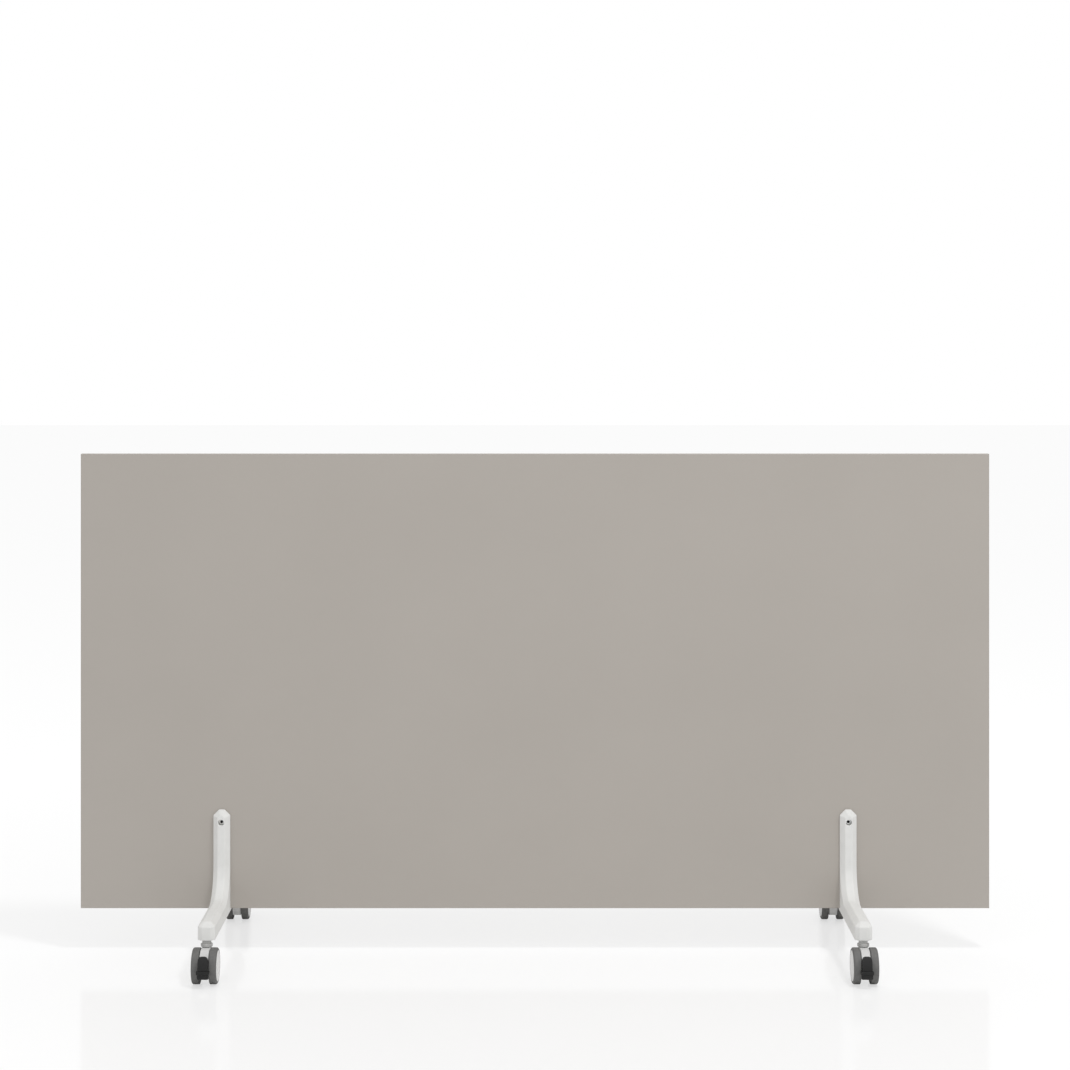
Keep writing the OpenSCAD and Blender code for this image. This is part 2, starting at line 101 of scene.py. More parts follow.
class Shader:
    # the node tree of a material or of the world
    def __init__(self, owner):
        owner.use_nodes = True
        self.owner = owner
        self.tree = owner.node_tree
        self.tree.nodes.clear()

    def node(self, kind, settings=None, inputs=None, output=0):
        made = self.tree.nodes.new(kind)
        for key, value in (settings or {}).items():
            setattr(made, key, value)
        for key, value in (inputs or {}).items():
            if isinstance(value, Signal):
                self.tree.links.new(value.socket, made.inputs[key])
            else:
                made.inputs[key].default_value = value
        return Signal(self, made.outputs[output]) if made.outputs else None

    def noise(self, size, detail=2, stretch=(1, 1, 1)):
        # cloudy noise from 0 to 1, whose blobs are about size metres across, drawn out by stretch
        place = self.node("ShaderNodeTexCoord", output="Object")
        place = self.node("ShaderNodeMapping", inputs={"Vector": place, "Scale": [1 / s for s in stretch]})
        inputs = {"Vector": place, "Scale": 1 / size, "Detail": detail}
        return self.node("ShaderNodeTexNoise", inputs=inputs)

    def levels(self, signal, low, high):
        # spreads the part of a signal between low and high over 0 to 1
        return self.node("ShaderNodeMapRange", inputs={"Value": signal, "From Min": low, "From Max": high})

    def blend(self, share, first, second):
        return share * first + (1 - share) * second

    def mix(self, mask, first, second):
        settings = {"data_type": "RGBA"}
        return self.node("ShaderNodeMix", settings, {0: mask, 6: first, 7: second}, output=2)

    def bump(self, height, depth, below=None):
        inputs = {"Height": height, "Distance": depth, "Strength": 1.0}
        if below is not None:
            inputs["Normal"] = below
        return self.node("ShaderNodeBump", inputs=inputs)

    def surface(self, **sockets):
        named = {key.replace("_", " "): value for key, value in sockets.items()}
        shader = self.node("ShaderNodeBsdfPrincipled", inputs=named)
        self.node("ShaderNodeOutputMaterial", inputs={"Surface": shader})
        return self.owner


def newShader(name):
    return Shader(bpy.data.materials.new(name))


# finishes

def laminateFinish():
    # pressed laminate: an even matte tone over a fine pebble texture
    look = {
        "colour": (170, 164, 157), "paler": (174, 168, 161), "cloudShare": 0.6, "spread": (0.3, 0.7),
        "cloudSize": 0.35, "grainSize": 0.0015, "pebbleSize": 0.0011, "pebbleDepth": 0.00002,
        "roughness": 0.56, "roughnessDrift": 0.06,
    }
    shader = newShader("pressedLaminate")
    clouds = shader.noise(look["cloudSize"])
    grain = shader.noise(look["grainSize"], 3)
    pebbles = shader.noise(look["pebbleSize"], 1)
    tone = shader.levels(shader.blend(look["cloudShare"], clouds, grain), *look["spread"])
    colour = shader.mix(tone, shade(*look["colour"]), shade(*look["paler"]))
    return shader.surface(
        Base_Color=colour,
        Roughness=look["roughness"] + look["roughnessDrift"] * (grain - 0.5),
        Normal=shader.bump(pebbles, look["pebbleDepth"]),
    )


def edgeBandFinish(stretch):
    # extruded plastic band in the board's colour, with faint lines along its length
    look = {
        "colour": (166, 160, 153), "paler": (172, 166, 159),
        "lineSize": 0.0009, "lineDepth": 0.00001, "spread": (0.35, 0.65),
        "roughness": 0.42, "roughnessDrift": 0.08,
    }
    shader = newShader("edgeBand")
    lines = shader.noise(look["lineSize"], 2, stretch)
    tone = shader.levels(lines, *look["spread"])
    return shader.surface(
        Base_Color=shader.mix(tone, shade(*look["colour"]), shade(*look["paler"])),
        Roughness=look["roughness"] + look["roughnessDrift"] * (lines - 0.5),
        Normal=shader.bump(lines, look["lineDepth"]),
    )


def particleBoardFinish():
    # pressed wood chips, each with its own tone
    look = {
        "dark": (150, 118, 80), "pale": (205, 176, 132),
        "chipSize": 0.004, "chipDepth": 0.0002, "roughness": 0.85,
    }
    shader = newShader("particleBoard")
    place = shader.node("ShaderNodeTexCoord", output="Object")
    scale = 1 / look["chipSize"]
    chips = shader.node("ShaderNodeTexVoronoi", inputs={"Vector": place, "Scale": scale}, output="Color")
    tone = shader.node("ShaderNodeSeparateColor", inputs={"Color": chips})
    return shader.surface(
        Base_Color=shader.mix(tone, shade(*look["dark"]), shade(*look["pale"])),
        Roughness=look["roughness"],
        Normal=shader.bump(tone, look["chipDepth"]),
    )


def powderCoatFinish(name, colour, paler, roughness, gloss):
    # sprayed coat on cast metal: soft orange peel over a slightly wavy casting
    look = {
        "peelSize": 0.0016, "peelDepth": 0.000035, "castSize": 0.018, "castDepth": 0.00012,
        "speckSize": 0.0005, "castShare": 0.7, "spread": (0.3, 0.7), "roughnessDrift": 0.08,
    }
    shader = newShader(name)
    peel = shader.noise(look["peelSize"], 1)
    casting = shader.noise(look["castSize"], 1)
    specks = shader.noise(look["speckSize"], 1)
    tone = shader.levels(shader.blend(look["castShare"], casting, specks), *look["spread"])
    wavy = shader.bump(casting, look["castDepth"])
    return shader.surface(
        Base_Color=shader.mix(tone, shade(*colour), shade(*paler)),
        Roughness=roughness + look["roughnessDrift"] * (specks - 0.5),
        Specular_IOR_Level=gloss,
        Normal=shader.bump(peel, look["peelDepth"], wavy),
    )


def zincFinish():
    # zinc plating: a cool metal with cloudy passivation and fine rolling marks; a socket gets painted shade
    look = {
        "cool": (214, 216, 217), "warm": (226, 224, 219), "paintedSocketShade": (26, 26, 27),
        "cloudSize": 0.006, "spread": (0.35, 0.65), "markSize": 0.0008, "markDepth": 0.00001,
        "roughness": 0.40, "roughnessDrift": 0.2,
    }
    shader = newShader("zincPlate")
    clouds = shader.levels(shader.noise(look["cloudSize"], 3), *look["spread"])
    marks = shader.noise(look["markSize"], 2, (1, 1, 6))
    # the socket mark is painted shade: where it is set, the plate turns dark and loses its metal
    socket = shader.node("ShaderNodeAttribute", {"attribute_name": "socket"}, output="Fac")
    plate = shader.mix(clouds, shade(*look["cool"]), shade(*look["warm"]))
    return shader.surface(
        Base_Color=shader.mix(socket, plate, shade(*look["paintedSocketShade"])),
        Metallic=1 - socket,
        Roughness=look["roughness"] + look["roughnessDrift"] * (marks - 0.5),
        Normal=shader.bump(marks, look["markDepth"]),
    )


def plasticFinish(name, colour, paler, roughness, grainSize=0.0007, grainDepth=0.00002, gloss=0.5):
    # moulded plastic with the fine spark texture of its mould and slight flow marks
    look = {"flowSize": 0.012, "flowShare": 0.6, "spread": (0.32, 0.68), "roughnessDrift": 0.1}
    shader = newShader(name)
    flow = shader.noise(look["flowSize"], 2, (1, 1, 2))
    grain = shader.noise(grainSize, 2)
    tone = shader.levels(shader.blend(look["flowShare"], flow, grain), *look["spread"])
    return shader.surface(
        Base_Color=shader.mix(tone, shade(*colour), shade(*paler)),
        Roughness=roughness + look["roughnessDrift"] * (grain - 0.5),
        Specular_IOR_Level=gloss,
        Normal=shader.bump(grain, grainDepth),
    )


def treadFinish():
    # soft grey tread: dull, with a little floor dust worn into the band that rolls
    look = {
        "colour": (98, 98, 97), "dusty": (107, 106, 104), "grainSize": 0.0009, "grainDepth": 0.00004,
        "smearSize": 0.007, "spread": (0.42, 0.68), "roughness": 0.62, "roughnessDrift": 0.14,
    }
    shader = newShader("softTread")
    rolling = shader.node("ShaderNodeAttribute", {"attribute_name": "rolling"}, output="Fac")
    smears = shader.levels(shader.noise(look["smearSize"], 4), *look["spread"])
    grain = shader.noise(look["grainSize"], 2)
    return shader.surface(
        Base_Color=shader.mix(rolling * smears, shade(*look["colour"]), shade(*look["dusty"])),
        Roughness=look["roughness"] + look["roughnessDrift"] * (grain - 0.5),
        Normal=shader.bump(grain, look["grainDepth"]),
    )


finishes = {
    "panel_laminate": laminateFinish(),
    "edge_band": edgeBandFinish((60, 1, 1)),
    "core_board": particleBoardFinish(),
    "cast_leg": powderCoatFinish("legCoat", (220, 220, 218), (224, 224, 222), 0.66, 0.12),
    "yoke_metal": powderCoatFinish("yokeCoat", (202, 202, 201), (208, 208, 207), 0.48, 0.4),
    "collar_grey": plasticFinish("collarPlastic", (175, 175, 173), (181, 181, 179), 0.45),
    "zinc_steel": zincFinish(),
    "washer_plastic": plasticFinish("washerPlastic", (224, 223, 214), (232, 231, 224), 0.40),
    "tread": treadFinish(),
    "hub_plastic": plasticFinish("hubPlastic", (70, 70, 70), (80, 80, 80), 0.50),
    "wheel_cover": plasticFinish("coverPlastic", (215, 215, 214), (221, 221, 220), 0.34, 0.0006, 0.00001),
    "pedal_black": plasticFinish("pedalPlastic", (21, 21, 21), (28, 28, 28), 0.58, 0.0008, 0.00004, 0.35),
}
uprightBand = edgeBandFinish((1, 1, 60))
print("finishes made:", len(finishes))


# modelling helpers

helperLook = {
    "turnSteps": 96,  # flats round a turned body
    "cutterSteps": 48, "profileSteps": 4, "bevelSteps": 3,
    "sharpEdge": radians(28),  # edges sharper than this are rounded
    "sharpShading": radians(40),  # and those sharper than this keep a hard line in the shading
}


def boxOf(node):
    # a node's low corner, high corner and middle
    low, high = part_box(node)
    return low, high, (low + high) / 2


def edgesOf(bm, test):
    return [edge for edge in bm.edges if test(edge, *edge.verts)]


def sharpEdges(bm):
    limit = helperLook["sharpEdge"]
    return [edge for edge in bm.edges if len(edge.link_faces) == 2 and edge.calc_face_angle(0) > limit]


def bevelEdges(bm, edges, offset, segments=helperLook["bevelSteps"]):
    bmesh.ops.bevel(
        bm, geom=edges, offset=offset, offset_type="OFFSET", segments=segments, profile=0.5,
        affect="EDGES", clamp_overlap=False, material=-1,
    )


def roundCorners(bm, verts, offset, segments):
    # rounds the corners of a flat outline; offset is how far the rounding starts from the corner
    bmesh.ops.bevel(
        bm, geom=verts, offset=offset, offset_type="OFFSET", segments=segments, profile=0.5,
        affect="VERTICES", clamp_overlap=False, material=-1,
    )


def outline(bm, points):
    # one flat face through the points
    verts = [bm.verts.new(point) for point in points]
    return bm.faces.new(verts)


def thicken(bm, move):
    # pulls every face out along a vector into a closed body
    made = bmesh.ops.extrude_face_region(bm, geom=bm.faces[:])
    verts = [item for item in made["geom"] if isinstance(item, bmesh.types.BMVert)]
    bmesh.ops.translate(bm, verts=verts, vec=move)
    bmesh.ops.recalc_face_normals(bm, faces=bm.faces[:])


def turn(bm, axis, steps):
    # spins the loose edges of a profile a full turn about an axis through the origin
    bmesh.ops.spin(
        bm, geom=bm.verts[:] + bm.edges[:], cent=(0, 0, 0), axis=axis, dvec=(0, 0, 0),
        angle=2 * pi, steps=steps, use_merge=True, use_duplicate=False,
    )
    bmesh.ops.remove_doubles(bm, verts=bm.verts[:], dist=weldDistance)
    bmesh.ops.recalc_face_normals(bm, faces=bm.faces[:])


def lathe(points, axis, steps=helperLook["turnSteps"]):
    # a body turned about an axis through the origin; points are (distance along it, radius, rounding)
    side = alongZ if axis.x else alongX
    bm = bmesh.new()
    outline(bm, [axis * along + side * radius for along, radius, _ in points])
    for vert, (_, _, rounding) in zip(bm.verts[:], points):
        if rounding:
            roundCorners(bm, [vert], rounding, helperLook["profileSteps"])
    bmesh.ops.delete(bm, geom=bm.faces[:], context="FACES_ONLY")
    onAxis = edgesOf(bm, lambda edge, *ends: max(vert.co.dot(side) for vert in ends) < tiny)
    bmesh.ops.delete(bm, geom=onAxis, context="EDGES")
    turn(bm, axis, steps)
    return bm


def plug(reach, radius, axis, place, start=None):
    # a plain round cutter or boss from start to reach along its axis
    first = -reach if start is None else start
    profile = [(first, 0, 0), (first, radius, 0), (reach, radius, 0), (reach, 0, 0)]
    bm = lathe(profile, axis, helperLook["cutterSteps"])
    bmesh.ops.translate(bm, verts=bm.verts[:], vec=place)
    return meshFrom(bm, "plug")


def block(low, high):
    # a plain box between two corners
    bm = bmesh.new()
    bmesh.ops.create_cube(bm, size=1)
    bmesh.ops.scale(bm, verts=bm.verts[:], vec=Vector(high) - Vector(low))
    bmesh.ops.translate(bm, verts=bm.verts[:], vec=(Vector(high) + Vector(low)) / 2)
    return bm


def meshFrom(bm, name):
    mesh = bpy.data.meshes.new(name)
    for face in bm.faces:
        face.smooth = True
    bm.to_mesh(mesh)
    bm.free()
    return mesh


def cutMesh(mesh, cutters, operation="DIFFERENCE"):
    # the mesh with every cutter mesh taken away, or joined on
    body = bpy.data.objects.new("cutBody", mesh)
    scene.collection.objects.link(body)
    tools = []
    for cutter in cutters:
        tool = bpy.data.objects.new("cutTool", cutter)
        scene.collection.objects.link(tool)
        tools.append(tool)
        modifier = body.modifiers.new("cut", "BOOLEAN")
        modifier.operation = operation
        modifier.solver = "EXACT"
        modifier.object = tool
    graph = bpy.context.evaluated_depsgraph_get()
    result = bpy.data.meshes.new_from_object(body.evaluated_get(graph))
    for spent in [body] + tools:
        bpy.data.objects.remove(spent)
    for face in result.polygons:
        face.use_smooth = True
    return result


def placed(shape, place):
    mesh = shape.copy()
    mesh.transform(place)
    return mesh


def addPiece(name, mesh, body, slot, node, finish=None):
    # puts a finished mesh into the scene, in the place of its node
    piece = bpy.data.objects.new(name, mesh)
    scene.collection.objects.link(piece)
    mesh.materials.clear()
    mesh.materials.append(finish or finishes[slot])
    mesh.set_sharp_from_angle(angle=helperLook["sharpShading"])
    weighted = piece.modifiers.new("evenShading", "WEIGHTED_NORMAL")
    weighted.keep_sharp = True
    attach(piece, body)
    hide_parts(node)
    return piece


# board: the nodes stay, and its four edge bands get rounded corners

bandLook = {"rounding": 0.0008}


def roundedBand(node, outward):
    # a bar whose two long outer corners are rounded; outward is the way it faces from the board
    bm = block(*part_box(node))
    outerFace = max(bm.faces, key=lambda face: face.calc_center_median().dot(outward))
    longest = max(edge.calc_length() for edge in outerFace.edges)
    longEdges = [edge for edge in outerFace.edges if edge.calc_length() > longest - tiny]
    bevelEdges(bm, longEdges, bandLook["rounding"])
    return meshFrom(bm, node)


bands = {
    "top_edge_band": alongZ, "bottom_edge_band": -alongZ,
    "left_edge_band": -alongX, "right_edge_band": alongX,
}
for node, outward in bands.items():
    finish = None if outward.z else uprightBand
    addPiece("rounded_" + node, roundedBand(node, outward), "screen", "edge_band", node, finish)
print("board done")


# legs

legLook = {
    "barDepth": 0.0155,  # how far a bar stands out from the face of the board
    "webHeight": 0.0065,  # metal between the underside of the foot and the board
    "footHeight": 0.0385, "sweepRadius": 0.067, "sweepSteps": 20,
    "topCut": 0.0125, "noseCut": 0.009, "edgeBevel": 0.0105, "rounding": 0.0014, "overcut": 0.002,
    "slotPlay": 0.0001, "clampDrop": 0.0265, "recessRadius": 0.0067, "recessDepth": 0.0125,
    "recessFlare": 0.0004, "holeRadius": 0.0052, "stemHoleRadius": 0.00502, "stemHoleLength": 0.028,
}


def legBody(low, high, boardFace):
    # the leg's side view pulled out to its width, then cut and rounded as the casting is
    look = legLook
    slot = boardFace + look["slotPlay"]
    bar = boardFace + look["barDepth"]
    footTop = low.z + look["footHeight"]
    nose = high.y
    half = [(slot, low.z + look["webHeight"]), (slot, high.z), (bar, high.z)]
    half += [(bar, footTop), (nose, footTop), (nose, low.z)]
    sideView = [(low.x, -y, z) for y, z in half] + [(low.x, y, z) for y, z in reversed(half)]
    bm = bmesh.new()
    outline(bm, sideView)

    def inSweep(vert):
        # the corner between a bar and the top of the foot
        return abs(abs(vert.co.y) - bar) < tiny and abs(vert.co.z - footTop) < tiny

    roundCorners(bm, list(filter(inSweep, bm.verts)), look["sweepRadius"], look["sweepSteps"])
    thicken(bm, (high.x - low.x, 0, 0))

    def onNose(edge, first, second):
        # the upright corners of the nose
        return abs(abs(first.co.y) - nose) < tiny and abs(first.co.z - second.co.z) > tiny

    def onTop(edge, first, second):
        # the corners at the two ends of each bar's top
        along = second.co - first.co
        return min(first.co.z, second.co.z) > high.z - tiny and abs(along.y) > tiny and abs(along.x) < tiny

    bevelEdges(bm, edgesOf(bm, onNose), look["noseCut"], 1)
    bevelEdges(bm, edgesOf(bm, onTop), look["topCut"], 1)

    def facesOut(face):
        # the outer faces: the front of a bar, its sweep and the top of the foot
        middle = face.calc_center_median()
        reach = abs(middle.y)
        return abs(face.normal.x) < tiny and face.normal.z > -tiny and bar - tiny < reach < nose - tiny

    outerEdges = edgesOf(bm, lambda edge, *_: sum(map(facesOut, edge.link_faces)) == 1)
    bevelEdges(bm, outerEdges, look["edgeBevel"], 1)
    bevelEdges(bm, sharpEdges(bm), look["rounding"])
    return meshFrom(bm, "legBody")


def legHoles(middle, high, boardFace, stemReach, footBottom):
    # a recess in each bar, the hole for the sleeve nut between them, and a hole for each stem
    look = legLook
    bar = boardFace + look["barDepth"]
    seat = bar - look["recessDepth"]
    clampPlace = Vector((middle.x, 0, high.z - look["clampDrop"]))
    radius = look["recessRadius"]
    flare = look["recessFlare"]
    over = look["overcut"]
    wide = radius + flare + over
    profile = [
        (seat, 0, 0), (seat, radius, 0), (bar - flare, radius, 0), (bar + over, wide, 0), (bar + over, 0, 0),
    ]
    cutters = [plug(bar, look["holeRadius"], alongY, clampPlace)]
    for way in (-1, 1):
        mouth = lathe(profile, way * alongY, helperLook["cutterSteps"])
        bmesh.ops.translate(mouth, verts=mouth.verts[:], vec=clampPlace)
        stemPlace = Vector((middle.x, way * stemReach, footBottom))
        cutters.append(meshFrom(mouth, "recess"))
        cutters.append(plug(look["stemHoleLength"], look["stemHoleRadius"], alongZ, stemPlace, -over))
    return cutters


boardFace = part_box("rear_laminate")[1].y
stemReach = boxOf("rear_left_collar")[2].y
for side in sides:
    low, high, middle = boxOf(side + "_leg")
    holes = legHoles(middle, high, boardFace, stemReach, low.z)
    leg = cutMesh(legBody(low, high, boardFace), holes)
    addPiece("cast_" + side + "_leg", leg, "screen", "cast_leg", side + "_leg")
print("legs done")


# clamp screws: rounded heads with a hexagon socket, a sleeve nut from the front and a screw from the back

screwLook = {
    "headRadius": 0.0063, "headThickness": 0.003, "headRounding": 0.0004, "tipRounding": 0.0004,
    "shankRadius": 0.003, "barrelRadius": 0.005, "boreRadius": 0.00305, "boreLength": 0.022,
    "socketRadius": 0.00346, "socketChamfer": 0.0003, "nutSocketDepth": 0.008, "screwSocketDepth": 0.0022,
    "turnSteps": 64, "socketSides": 6,
}


def screwShape(face, tip, radius, socketDepth, way, boreLength=0):
    # a head and its shank along Y; face and tip are how far its two ends reach out along the given way
    look = screwLook
    axis = way * alongY
    seat = face - look["headThickness"]
    floor = face - socketDepth
    chamfer = look["socketChamfer"]
    corner = look["socketRadius"]
    mouth = face - chamfer
    body = meshFrom(lathe([
        (tip, 0, 0), (tip, radius, look["tipRounding"]), (seat, radius, 0), (seat, look["headRadius"], 0),
        (face, look["headRadius"], look["headRounding"]), (face, 0, 0),
    ], axis, look["turnSteps"]), "screw")
    cutters = [meshFrom(lathe([
        (floor, 0, 0), (floor, corner, 0), (mouth, corner, 0),
        (face + chamfer, corner + 2 * chamfer, 0), (face + chamfer, 0, 0),
    ], axis, look["socketSides"]), "socket")]
    if boreLength:
        cutters.append(plug(tip + boreLength, look["boreRadius"], axis, Vector(), tip - chamfer))
    mesh = cutMesh(body, cutters)
    # painted shade: the socket's floor and walls are marked, and the zinc finish paints them dark, fading
    # over the chamfer at the mouth
    paintedShade = mesh.attributes.new("socket", "FLOAT", "POINT")
    for vert, mark in zip(mesh.vertices, paintedShade.data):
        along = vert.co.dot(axis)
        deep = floor - tiny < along < mouth + tiny / 2
        mark.value = 1.0 if deep and vert.co.xz.length < corner + tiny else 0.0
    return mesh


def inPair(shape, node):
    # one mesh with a copy of the shape on each of the two legs
    low, high, middle = boxOf(node)
    reach = (high.x - low.x) / 2 - screwLook["headRadius"]
    bm = bmesh.new()
    for way in (-1, 1):
        bm.from_mesh(placed(shape, Matrix.Translation((way * reach, 0, middle.z))))
    return meshFrom(bm, node)


nutLow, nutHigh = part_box("sleeve_nuts")
screwLow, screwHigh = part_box("clamp_screws")
nut = screwShape(
    -nutLow.y, -nutHigh.y, screwLook["barrelRadius"], screwLook["nutSocketDepth"], -1,
    screwLook["boreLength"],
)
screw = screwShape(screwHigh.y, screwLow.y, screwLook["shankRadius"], screwLook["screwSocketDepth"], 1)
addPiece("rounded_sleeve_nuts", inPair(nut, "sleeve_nuts"), "screen", "zinc_steel", "sleeve_nuts")
addPiece("rounded_clamp_screws", inPair(screw, "clamp_screws"), "screen", "zinc_steel", "clamp_screws")
print("screws done")


# casters: each shape is made once, with its swivel axis on Z and trailing to -Y, then copied to its corners

casterLook = {
    "trail": 0.020, "axleHeight": 0.0375,
    "collarLow": 0.074, "collarHigh": 0.0875, "collarRadius": 0.0125, "rimHeight": 0.005,
    "neckRadius": 0.0095, "neckHeight": 0.0065, "stemHole": 0.00502, "collarRounding": 0.0003,
}

axlePlace = Vector((0, -casterLook["trail"], casterLook["axleHeight"]))


wheelLook = {
    "radius": 0.0375, "width": 0.016, "bead": 0.03235, "outerShoulder": 0.0042, "innerShoulder": 0.0016,
    "coverRadius": 0.03205, "coverDepth": 0.0022, "ringWidth": 0.005, "dish": 0.0008,
    "buttonRadius": 0.0085, "coverRounding": 0.0004, "beadRounding": 0.0003,
}


def tyreShape():
    look = wheelLook
    bm = lathe([
        (0, look["bead"], 0), (0, look["radius"], look["innerShoulder"]),
        (look["width"], look["radius"], look["outerShoulder"]),
        (look["width"], look["bead"], look["beadRounding"]),
    ], alongX)
    rolling = bm.verts.layers.float.new("rolling")
    for vert in bm.verts:
        vert[rolling] = 1.0 if vert.co.yz.length > look["radius"] - tiny else 0.0
    return meshFrom(bm, "tyre")


def coverShape():
    # a disc with a raised ring at its rim and a raised button in its middle
    look = wheelLook
    face = look["width"]
    dish = look["dish"]
    ring = look["coverRadius"] - look["ringWidth"]
    low = face - look["coverDepth"]
    rim = look["coverRadius"]
    button = look["buttonRadius"]
    soft = look["coverRounding"]
    return meshFrom(lathe([
        (low, 0, 0), (low, rim, 0), (face - dish, rim, soft / 2), (face, rim - dish, soft),
        (face, ring, soft), (face - dish, ring - 2 * dish, soft),
        (face - dish, button + dish, soft), (face, button, soft), (face, 0, 0),
    ], alongX), "cover")


def collarShape():
    # a rim below a cone and a short neck
    look = casterLook
    low = look["collarLow"]
    high = look["collarHigh"]
    rim = low + look["rimHeight"]
    neck = high - look["neckHeight"]
    hole = look["stemHole"]
    wide = look["collarRadius"]
    narrow = look["neckRadius"]
    soft = look["collarRounding"]
    return meshFrom(lathe([
        (low, hole, 0), (low, wide, soft), (rim, wide, soft),
        (neck, narrow, soft), (high, narrow, soft), (high, hole, 0),
    ], alongZ), "collar")


yokeLook = {
    "width": 0.019, "radius": 0.0355, "floor": 0.015, "top": 0.0727, "back": 0.009,
    "lowerSteps": 14, "upperSteps": 22, "neckRounding": 0.004, "neckSteps": 6,
    "rounding": 0.0012, "bossRadius": 0.008, "bossReach": 0.0102, "axleHole": 0.00402,
    "pinPlace": (0, -0.038, 0.042), "pinHole": 0.00202, "stemBore": 0.00505, "boreLow": 0.036,
    "grooveLow": 0.06275, "grooveHigh": 0.06465, "grooveRadius": 0.00595,
    "overcut": 0.001,
    "cutReach": 0.011,  # how far from the middle the cutters of the cross holes reach
    "slotLow": (-0.0063, -0.09, 0.024), "slotHigh": (0.0063, -0.0327, 0.060),
}


def yokeShape():
    # the side view of the fork pulled out to its width, with bosses for the wheels and its holes
    look = yokeLook

    def rimPoint(angle):
        along = axlePlace + look["radius"] * Vector((0, cos(angle), sin(angle)))
        return (-look["width"] / 2, along.y, along.z)

    below = asin((look["floor"] - axlePlace.z) / look["radius"])
    behind = acos((look["back"] - axlePlace.y) / look["radius"])
    above = pi - asin((look["top"] - axlePlace.z) / look["radius"])

    def arc(first, last, steps):
        return [rimPoint(first + (last - first) * step / steps) for step in range(steps + 1)]

    points = arc(below, behind, look["lowerSteps"])
    points.append((-look["width"] / 2, look["back"], look["top"]))
    points += arc(above, pi - below, look["upperSteps"])
    bm = bmesh.new()
    outline(bm, points)
    bm.verts.ensure_lookup_table()
    roundCorners(bm, [bm.verts[look["lowerSteps"] + 1]], look["neckRounding"], look["neckSteps"])
    thicken(bm, (look["width"], 0, 0))
    bevelEdges(bm, sharpEdges(bm), look["rounding"])
    boss = plug(look["bossReach"], look["bossRadius"], alongX, axlePlace)
    body = cutMesh(meshFrom(bm, "yoke"), [boss], "UNION")
    bore = look["stemBore"]
    groove = look["grooveRadius"]
    mouth = look["top"] + look["overcut"]
    stemHole = lathe([
        (look["boreLow"], 0, 0), (look["boreLow"], bore, 0), (look["grooveLow"], bore, 0),
        (look["grooveLow"], groove, 0), (look["grooveHigh"], groove, 0), (look["grooveHigh"], bore, 0),
        (mouth, bore, 0), (mouth, 0, 0),
    ], alongZ, helperLook["cutterSteps"])
    return cutMesh(body, [
        meshFrom(stemHole, "stemHole"), meshFrom(block(look["slotLow"], look["slotHigh"]), "slot"),
        plug(look["cutReach"], look["axleHole"], alongX, axlePlace),
        plug(look["cutReach"], look["pinHole"], alongX, Vector(look["pinPlace"])),
    ])


pedalLook = {
    "inner": 0.0405, "outer": 0.047, "width": 0.0214, "top": 38, "low": -20,
    "arch": 0.0075, "archSteps": 8, "lowRounding": 0.002, "lowSteps": 4,
    "lipOuter": 0.050, "lipWidth": 0.027, "lipTop": -0.5, "lipLow": -8.5, "lipRounding": 0.0015,
    "toeWidth": 0.024, "toeTop": -4.5, "toeOut": 0.004, "toeRounding": 0.003,
    "rounding": 0.0011, "strip": 0.003,
    "armLow": (-0.006, -0.0636, 0.0375), "armHigh": (0.006, -0.038, 0.0465), "bossRadius": 0.005,
    "pinPlay": 0.00003,
}


def bentPlate(width, outer, top, low, topRounding, lowRounding, flare=0):
    # a plate bent about the axle: drawn flat as it is seen from the front, thickened, then wrapped;
    # flare is how much further than its top its low end stands out
    look = pedalLook
    side = width / 2
    high = outer * sin(radians(top))
    base = outer * sin(radians(low))
    bm = bmesh.new()
    outline(bm, [(-side, 0, base), (side, 0, base), (side, 0, high), (-side, 0, high)])
    lowEnds, highEnds = bm.verts[:2], bm.verts[2:]
    roundCorners(bm, lowEnds, lowRounding, look["lowSteps"])
    roundCorners(bm, highEnds, topRounding, look["archSteps"])
    steps = int((high - base) / look["strip"])
    for step in range(1, steps):
        bmesh.ops.bisect_plane(
            bm, geom=bm.verts[:] + bm.edges[:] + bm.faces[:], dist=weldDistance,
            plane_co=(0, 0, base + (high - base) * step / steps), plane_no=alongZ,
        )
    depth = outer - look["inner"]
    thicken(bm, (0, depth, 0))
    for vert in bm.verts:
        angle = asin(vert.co.z / outer)
        towardsLow = (high - vert.co.z) / (high - base)
        reach = outer - vert.co.y + flare * towardsLow * (1 - vert.co.y / depth)
        vert.co = axlePlace + Vector((vert.co.x, -reach * cos(angle), reach * sin(angle)))
    bmesh.ops.recalc_face_normals(bm, faces=bm.faces[:])
    bevelEdges(bm, sharpEdges(bm), look["rounding"])
    return meshFrom(bm, "bentPlate")


def pedalShape():
    # the bent plate, the lip across it, the toe below, and the arm that runs in to its pin
    look = pedalLook
    pin = Vector(yokeLook["pinPlace"])
    outer = look["outer"]
    low = look["low"]
    soft = look["lipRounding"]
    plate = bentPlate(look["width"], outer, look["top"], low, look["arch"], look["lowRounding"])
    lip = bentPlate(look["lipWidth"], look["lipOuter"], look["lipTop"], look["lipLow"], soft, soft)
    toe = bentPlate(look["toeWidth"], outer, look["toeTop"], low, soft, look["toeRounding"], look["toeOut"])
    arm = block(look["armLow"], look["armHigh"])
    longEdges = edgesOf(arm, lambda edge, first, last: abs(first.co.y - last.co.y) > tiny)
    bevelEdges(arm, longEdges, look["rounding"])
    boss = plug(look["armHigh"][0], look["bossRadius"], alongX, pin)
    joined = cutMesh(plate, [lip, toe, meshFrom(arm, "arm"), boss], "UNION")
    pinRadius = yokeLook["pinHole"] + look["pinPlay"]
    return cutMesh(joined, [plug(yokeLook["cutReach"], pinRadius, alongX, pin)])


